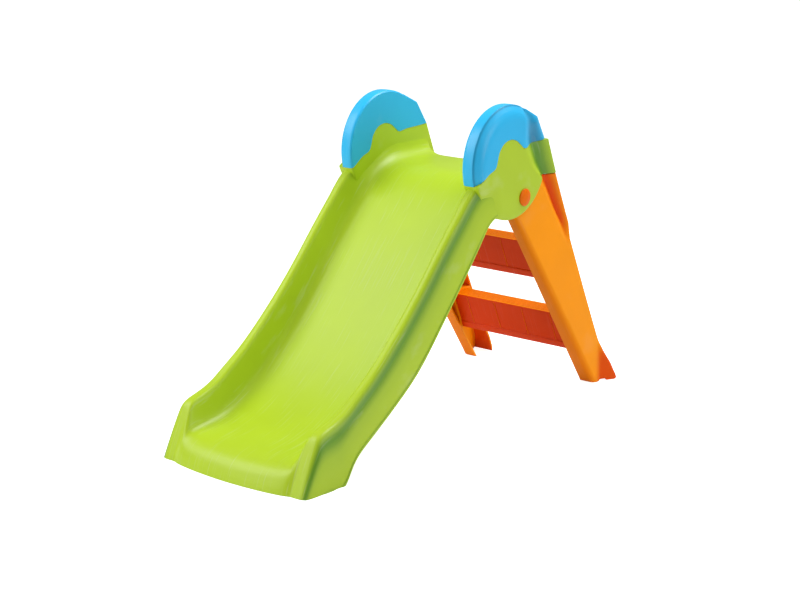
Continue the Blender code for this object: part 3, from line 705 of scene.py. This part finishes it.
def pivot_pin():
    """A turned pin: domed head with a soft rim, shank, and a barbed inner end."""
    under_head = EAR_OUT + GAP
    barb = EAR_IN - GAP
    profile = [(POLE_R, under_head + PIN_HEAD_H)]
    for i in range(1, 13):
        turn = radians(90 - 7.5 * i)
        dome = (PIN_HEAD_H - PIN_RIM_H) * sin(turn)
        profile.append((PIN_HEAD_R * cos(turn) ** 0.9, under_head + PIN_RIM_H + dome))
    profile += [(PIN_HEAD_R, under_head + 0.0008), (PIN_HEAD_R - 0.0004, under_head), (PIN_R, under_head),
                (PIN_R, barb), (BARB_R, barb), (BARB_R, barb - BARB_RIM_H), (BARB_TIP_R, barb - BARB_H),
                (POLE_R, barb - BARB_H)]
    pin = new_primitive("pin_right", bpy.ops.mesh.primitive_uv_sphere_add,
                        segments=72, ring_count=len(profile) + 1, radius=1.0)
    for vert in pin.data.vertices:
        index = round(acos(min(1.0, max(-1.0, vert.co.z))) / pi * (len(profile) + 1)) - 1
        angle = atan2(vert.co.y, vert.co.x)
        radius, x = profile[min(max(index, 0), len(profile) - 1)]
        if index < 0 or index >= len(profile):
            radius = 0.0
        vert.co = (x, PIVOT_Y + radius * cos(angle), PIVOT_Z + radius * sin(angle))
    outward(pin)
    return shade(pin, 40)


# Materials.

GRAIN_SCALE, CLOUD_SCALE = 900.0, 7.0
SCRATCH_STRETCH = (260.0, 9.0, 9.0)          # the scuffs run along the slide
SCRATCH_BAND = (0.58, 0.72)
TONE_BAND, TONE_SPAN = (0.3, 0.7), (0.97, 1.03)
SCUFF_COLOR, SCUFF_FADE = (0.85, 0.87, 0.80, 1.0), 0.10
CLOUD_ROUGHNESS, SCUFF_ROUGHNESS, SCUFF_HEIGHT = 0.10, 0.12, -0.35
BUMP_STRENGTH, PLASTIC_IOR = 0.5, 1.49


def put(tree, socket, value):
    """Give an input a constant value, or link an output to it."""
    if isinstance(value, bpy.types.NodeSocket):
        tree.links.new(value, socket)
    else:
        socket.default_value = value


def noise(tree, place, scale, detail):
    texture = tree.nodes.new("ShaderNodeTexNoise")
    put(tree, texture.inputs["Vector"], place)
    put(tree, texture.inputs["Scale"], scale)
    put(tree, texture.inputs["Detail"], detail)
    return texture.outputs["Fac"]


def calculate(tree, operation, *values):
    node = tree.nodes.new("ShaderNodeMath")
    node.operation = operation
    for socket, value in zip(node.inputs, values):
        put(tree, socket, value)
    return node.outputs[0]


def remap(tree, value, band, span=(0.0, 1.0)):
    """A value that runs over the span while the given one runs over the band."""
    node = tree.nodes.new("ShaderNodeMapRange")
    names = ("Value", "From Min", "From Max", "To Min", "To Max")
    for name, setting in zip(names, (value, *band, *span)):
        put(tree, node.inputs[name], setting)
    return node.outputs["Result"]


def blend(tree, factor, first, second):
    node = tree.nodes.new("ShaderNodeMix")
    node.data_type = "RGBA"
    put(tree, node.inputs["Factor"], factor)
    put(tree, node.inputs["A"], first)
    put(tree, node.inputs["B"], second)
    return node.outputs["Result"]


def moulded_surface_and_shade():
    """Fine moulding grain, faint flow marks, scuffs and the painted shade: colour, roughness and height."""
    group = bpy.data.node_groups.new("moulded_surface_and_shade", "ShaderNodeTree")
    # Depth is the painted shade, from 0 to 1, and the second colour is the colour of that shade.
    for name, kind in (("Color", "Color"), ("Shade Color", "Color"), ("Depth", "Float"),
                       ("Roughness", "Float"), ("Wear", "Float")):
        group.interface.new_socket(name, in_out="INPUT", socket_type="NodeSocket" + kind)
    for name, kind in (("Color", "Color"), ("Roughness", "Float"), ("Height", "Float")):
        group.interface.new_socket(name, in_out="OUTPUT", socket_type="NodeSocket" + kind)
    given = group.nodes.new("NodeGroupInput").outputs
    result = group.nodes.new("NodeGroupOutput").inputs
    place = group.nodes.new("ShaderNodeTexCoord").outputs["Object"]
    stretch = group.nodes.new("ShaderNodeMapping")
    put(group, stretch.inputs["Scale"], SCRATCH_STRETCH)
    put(group, stretch.inputs["Vector"], place)

    grain = noise(group, place, GRAIN_SCALE, 2.0)
    cloud = noise(group, place, CLOUD_SCALE, 3.0)
    scratch = noise(group, stretch.outputs["Vector"], 1.0, 4.0)
    scuff = calculate(group, "MULTIPLY", remap(group, scratch, SCRATCH_BAND), given["Wear"])

    vary = group.nodes.new("ShaderNodeVectorMath")
    vary.operation = "SCALE"
    put(group, vary.inputs["Vector"], blend(group, given["Depth"], given["Color"], given["Shade Color"]))
    put(group, vary.inputs["Scale"], remap(group, cloud, TONE_BAND, TONE_SPAN))
    fade = calculate(group, "MULTIPLY", scuff, SCUFF_FADE)
    put(group, result["Color"], blend(group, fade, vary.outputs["Vector"], SCUFF_COLOR))

    patch = calculate(group, "MULTIPLY_ADD", cloud, CLOUD_ROUGHNESS, given["Roughness"])
    put(group, result["Roughness"], calculate(group, "MULTIPLY_ADD", scuff, SCUFF_ROUGHNESS, patch))
    put(group, result["Height"], calculate(group, "MULTIPLY_ADD", scuff, SCUFF_HEIGHT, grain))
    return group


def moulded_plastic(name, group, color, shade_color, roughness, wear, bump, shine):
    """Satin moulded plastic; the painted shade colour shows where the piece's depth attribute is high."""
    material = bpy.data.materials.new(name)
    material.use_nodes = True
    tree = material.node_tree
    shader = tree.nodes["Principled BSDF"].inputs
    surface = tree.nodes.new("ShaderNodeGroup")
    surface.node_tree = group
    # The depth attribute holds the painted shade.
    depth = tree.nodes.new("ShaderNodeAttribute")
    depth.attribute_name = "depth"
    put(tree, surface.inputs["Color"], color)
    put(tree, surface.inputs["Shade Color"], shade_color)
    put(tree, surface.inputs["Depth"], depth.outputs["Fac"])
    put(tree, surface.inputs["Roughness"], roughness)
    put(tree, surface.inputs["Wear"], wear)
    relief = tree.nodes.new("ShaderNodeBump")
    put(tree, relief.inputs["Distance"], bump)
    put(tree, relief.inputs["Strength"], BUMP_STRENGTH)
    put(tree, relief.inputs["Height"], surface.outputs["Height"])
    put(tree, shader["Base Color"], surface.outputs["Color"])
    put(tree, shader["Roughness"], surface.outputs["Roughness"])
    put(tree, shader["Normal"], relief.outputs["Normal"])
    put(tree, shader["IOR"], PLASTIC_IOR)
    put(tree, shader["Specular IOR Level"], shine)
    return material


# The second colour of each plastic is the colour of its painted shade.
def green_plastic(surface):
    return moulded_plastic("green_plastic", surface, (0.43, 0.60, 0.012, 1.0), (0.10, 0.27, 0.010, 1.0),
                           roughness=0.34, wear=1.0, bump=0.00004, shine=0.42)


def blue_plastic(surface):
    return moulded_plastic("blue_plastic", surface, (0.020, 0.47, 0.84, 1.0), (0.0, 0.21, 0.40, 1.0),
                           roughness=0.30, wear=0.5, bump=0.00004, shine=0.40)


def orange_plastic(surface):
    return moulded_plastic("orange_plastic", surface, (0.96, 0.315, 0.0, 1.0), (0.72, 0.046, 0.001, 1.0),
                           roughness=0.34, wear=0.25, bump=0.00005, shine=0.09)


def paint_shade(obj, rule):
    """Store the painted shade at each corner of the mesh, from 0 to 1."""
    attribute = obj.data.attributes.new("depth", "FLOAT", "CORNER")
    values = []
    for polygon in obj.data.polygons:
        for index in polygon.vertices:
            values.append(rule(polygon.normal, obj.data.vertices[index].co))
    attribute.data.foreach_set("value", values)


def cover_shade(normal, place):
    """A grip cover has painted shade in the valley and a painted dark line beside its rim band."""
    across = (abs(place.x) - EAR_IN) / (EAR_OUT - EAR_IN)
    # The painted dark line beside the rim band stands in for the crease's shade.
    line = ease(1.0 - abs(across - 0.70) / 0.07)
    beside = 1.0 - ease(flute_share(place.y, place.z) / 0.10)
    return max(flute_shade(place), 0.75 * line * beside)


def stile_shade(normal, place):
    """The stile has painted shade on its front flange, in the valley and on the toe."""
    # Painted shade on the toe, mostly on its outer side.
    toe = 0.85 * ease((TOE_TOP - place.z) / 0.05) * ease((place.y - 0.545) / 0.03)
    inward = -normal.x if place.x > 0.0 else normal.x
    toe *= 1.0 - 0.9 * ease((inward - 0.5) / 0.3)
    # Front-facing surfaces get painted shade by their normal.
    return max(0.45 * max(0.0, -normal.y), 0.9 * flute_shade(place), toe)


def rib_tone(normal, place):
    return 0.0


def ear_shade(normal, place):
    # The ear's painted shade is the valley's.
    return flute_shade(place)


def pin_shade(normal, place):
    # The whole pin is painted darker, as painted shade.
    return 0.6


def step_shade(normal, place):
    """The front flange is painted dark as shade, the tread left light."""
    return 0.05 + 0.95 * ease(-normal.y * 1.2)


def finish_piece(obj, body, node, material):
    """Give a piece its plastic and the body it moves with, and hide the node it stands for."""
    obj.data.materials.clear()
    obj.data.materials.append(material)
    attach(obj, body)
    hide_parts(node)


# The studio.

WHITE = (1.0, 1.0, 1.0, 1.0)
WORLD_LIGHT = 0.32
FLOOR_RADIUS, FLOOR_Z = 14.0, -0.0005
FLOOR_TONES, FLOOR_GLOW = (0.80, 0.82), (0.10, 0.86)     # the floor glows for the camera only
CAMERA_TARGET = Vector((0.002, 0.002, 0.298))
CAMERA_AZIMUTH, CAMERA_ELEVATION = 39.77, 14.51
CAMERA_DISTANCE, CAMERA_LENS = 4.547, 83.475
# Name, place, aim, size and power.
STUDIO_LIGHTS = [
    ("key_high_left", (-2.0, -2.0, 2.8), (0.0, 0.0, 0.35), 2.6, 82.0),
    ("low_front_left", (-1.4, -3.4, 1.1), (0.0, -0.3, 0.30), 1.6, 19.0),
    ("overhead_rear", (0.5, 1.3, 2.9), (0.0, 0.2, 0.30), 1.8, 68.0),
    ("right_fill", (3.1, 0.9, 1.5), (0.0, 0.1, 0.35), 1.8, 24.0),
]


def area_light(name, place, aim, size, power):
    """A round white lamp turned towards its aim."""
    lamp = bpy.data.lights.new(name, "AREA")
    lamp.shape = "DISK"
    lamp.size = size
    lamp.energy = power
    obj = bpy.data.objects.new(name, lamp)
    bpy.context.scene.collection.objects.link(obj)
    obj.location = place
    direction = Vector(aim) - Vector(place)
    obj.rotation_euler = direction.to_track_quat("-Z", "Y").to_euler()


def studio_world():
    """White all round; the backdrop itself is a plain white."""
    world = bpy.data.worlds.new("studio")
    bpy.context.scene.world = world
    world.use_nodes = True
    tree = world.node_tree
    soft_light = tree.nodes["Background"]
    backdrop = tree.nodes.new("ShaderNodeBackground")
    for shader, strength in ((soft_light, WORLD_LIGHT), (backdrop, 1.0)):
        put(tree, shader.inputs["Color"], WHITE)
        put(tree, shader.inputs["Strength"], strength)
    path = tree.nodes.new("ShaderNodeLightPath")
    mix = tree.nodes.new("ShaderNodeMixShader")
    put(tree, mix.inputs["Fac"], path.outputs["Is Camera Ray"])
    put(tree, mix.inputs[1], soft_light.outputs["Background"])
    put(tree, mix.inputs[2], backdrop.outputs["Background"])
    put(tree, tree.nodes["World Output"].inputs["Surface"], mix.outputs["Shader"])


def studio_floor():
    """A plain pale floor, just below the ground level."""
    floor = new_primitive("studio_floor", bpy.ops.mesh.primitive_circle_add, vertices=96,
                          radius=FLOOR_RADIUS, fill_type="NGON", location=(0.0, 0.0, FLOOR_Z))
    material = bpy.data.materials.new("pale_floor")
    material.use_nodes = True
    tree = material.node_tree
    shader = tree.nodes["Principled BSDF"].inputs
    clouds = tree.nodes.new("ShaderNodeTexNoise")
    put(tree, clouds.inputs["Scale"], 3.0)
    tone = remap(tree, clouds.outputs["Fac"], (0.0, 1.0), FLOOR_TONES)
    path = tree.nodes.new("ShaderNodeLightPath")
    glow = remap(tree, path.outputs["Is Camera Ray"], (0.0, 1.0), FLOOR_GLOW)
    put(tree, shader["Roughness"], 0.7)
    put(tree, shader["Base Color"], tone)
    put(tree, shader["Emission Color"], WHITE)
    put(tree, shader["Emission Strength"], glow)
    floor.data.materials.append(material)


def studio_camera():
    data = bpy.data.cameras.new("camera")
    data.lens = CAMERA_LENS
    data.sensor_width = 36.0
    camera = bpy.data.objects.new("camera", data)
    bpy.context.scene.collection.objects.link(camera)
    azimuth, elevation = radians(CAMERA_AZIMUTH), radians(CAMERA_ELEVATION)
    offset = Vector((sin(azimuth) * cos(elevation), -cos(azimuth) * cos(elevation), sin(elevation)))
    camera.location = CAMERA_TARGET + offset * CAMERA_DISTANCE
    camera.rotation_euler = (-offset).to_track_quat("-Z", "Y").to_euler()
    bpy.context.scene.camera = camera


def studio():
    studio_world()
    studio_floor()
    studio_camera()
    for name, place, aim, size, power in STUDIO_LIGHTS:
        area_light(name, place, aim, size, power)
    view = bpy.context.scene.view_settings
    view.view_transform = "Standard"
    view.look = "None"


# The pieces, each on its body and in place of its node.

def chute(green):
    """The chute's shell, with its painted shade set where it is modelled, and the ribs under it."""
    shell = chute_shell()
    ribs = chute_ribs(shell)
    paint_shade(ribs, rib_tone)
    for piece in (shell, ribs):
        finish_piece(piece, "slide", "slide_bed", green)


def pair(right, left_name, body, nodes, material, tone):
    """Finish a right-hand piece and its mirror image."""
    left = mirrored_copy(right, left_name)
    for piece, node in zip((right, left), nodes):
        # The tone is the rule for each piece's painted shade.
        paint_shade(piece, tone)
        finish_piece(piece, body, node, material)


def steps(orange):
    for name, corner in STEPS.items():
        tread = step(name + "_tread", corner)
        paint_shade(tread, step_shade)
        finish_piece(tread, "ladder", name + "_step", orange)


def main():
    surface = moulded_surface_and_shade()
    green = green_plastic(surface)
    blue = blue_plastic(surface)
    orange = orange_plastic(surface)
    chute(green)
    pair(ear(), "ear_left", "slide", ("slide_bed", "slide_bed"), green, ear_shade)
    pair(grip_cover(), "grip_cover_left", "slide", ("grip_right", "grip_left"), blue,
         cover_shade)
    pair(pivot_pin(), "pin_left", "slide", ("pivot_pin_right", "pivot_pin_left"), orange,
         pin_shade)
    pair(stile(), "stile_left_shell", "ladder", ("stile_right", "stile_left"), orange,
         stile_shade)
    steps(orange)
    studio()


main()
